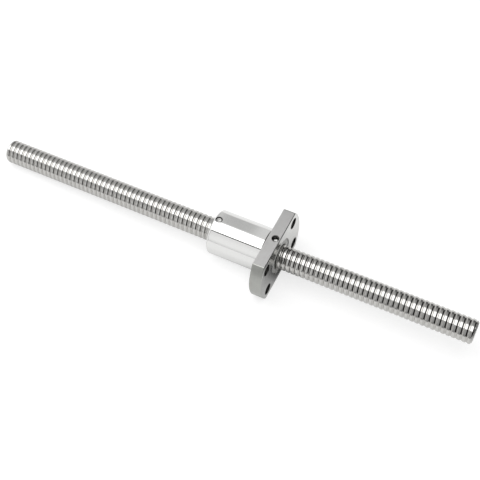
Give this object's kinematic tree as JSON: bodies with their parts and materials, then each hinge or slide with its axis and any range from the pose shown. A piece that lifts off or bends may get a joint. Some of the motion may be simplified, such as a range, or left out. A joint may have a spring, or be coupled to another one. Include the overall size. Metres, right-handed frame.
{
  "type": "ball screw",
  "caption": "Miniature ball screw: a steel shaft with a fine rolled ball thread carries a round nut with a flat-sided bolting flange, which travels along the shaft as it turns.",
  "frame": {"origin": "middle of the screw shaft's axis, which is also the middle of the whole part's box", "axes": "+X along the shaft, from the nut's plain body towards its flange; +Z out of the flange's upper flat, the one with the set-screw hole; +Y completes the right-handed frame, along the flange's long side, and the return deflectors face it"},
  "size_m": [0.2026, 0.035, 0.022],
  "materials": {
    "screw": "hardened and polished, with bright lands and darker grooves",
    "nut": "ground and polished body, satin flange",
    "deflector": "sintered steel, ground flush with the body",
    "balls": "polished bearing steel",
    "wiper": "grey moulded resin",
    "set_screw": "plain steel"
  },
  "bodies": {
    "screw": {"screw_shaft": "screw"},
    "wipers": {"front_wiper": "wiper", "rear_wiper": "wiper"},
    "nut": {"ball_nut": "nut", "return_deflector_1": "deflector", "return_deflector_2": "deflector", "return_deflector_3": "deflector", "ball_circuit_1": "balls", "ball_circuit_2": "balls", "ball_circuit_3": "balls", "front_wiper_set_screw": "set_screw", "rear_wiper_set_screw": "set_screw"}
  },
  "joints": [
    {"name": "nut_travel", "type": "slide", "parent": "screw", "child": "wipers", "axis": [1, 0, 0], "range_m": [-0.0941, 0.0741]},
    {"name": "nut_turn", "type": "hinge", "parent": "wipers", "child": "nut", "pos_m": [0.0185, 0, 0], "axis": [1, 0, 0], "range_deg": [-16920, 13320]}
  ],
  "couplings": [
    {"joint": "nut_travel", "follows": "nut_turn", "m_per_rad": 0.00031831}
  ]
}
